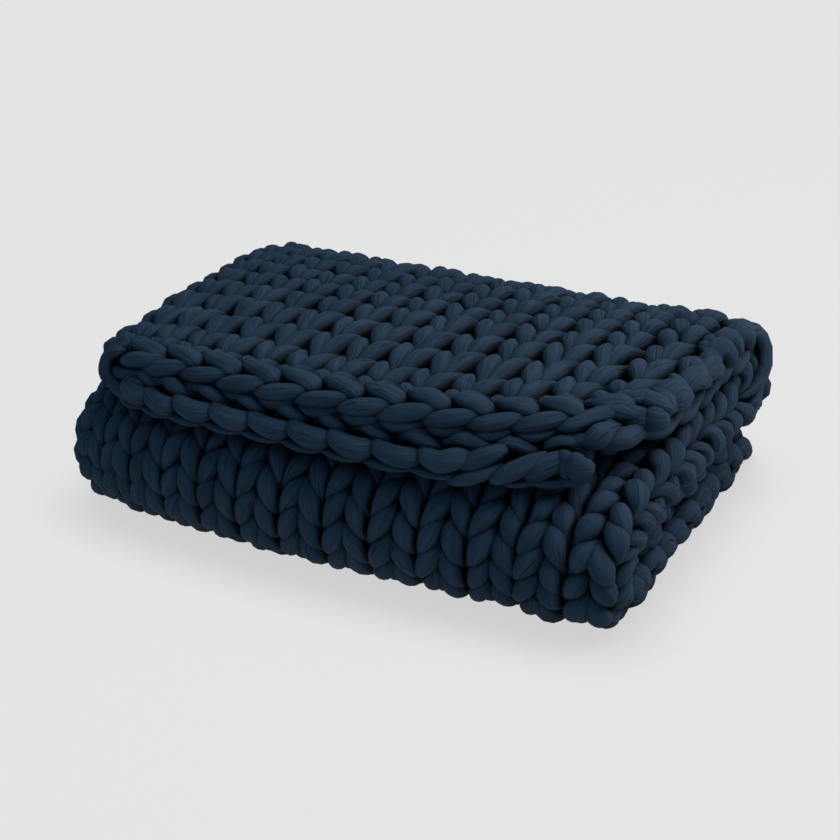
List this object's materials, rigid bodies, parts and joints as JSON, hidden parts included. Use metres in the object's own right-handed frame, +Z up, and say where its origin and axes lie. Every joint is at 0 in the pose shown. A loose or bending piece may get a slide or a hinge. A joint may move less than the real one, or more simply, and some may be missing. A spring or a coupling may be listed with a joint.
{
  "type": "folded weighted blanket",
  "caption": "Chunky-knit weighted blanket in thick tubular jersey yarn, folded in half and then in thirds into a neat six-layer stack.",
  "frame": {"origin": "on the resting surface, under the middle of the folded stack's footprint", "axes": "+Z up, +X to the right along the front fold, towards the open selvedges, +Y towards the back folds"},
  "size_m": [0.6228, 0.45, 0.2112],
  "materials": {
    "navy_jersey_yarn": "matte, finely woven stretch jersey over soft filling"
  },
  "bodies": {
    "root": {"blanket": "navy_jersey_yarn"}
  },
  "joints": []
}
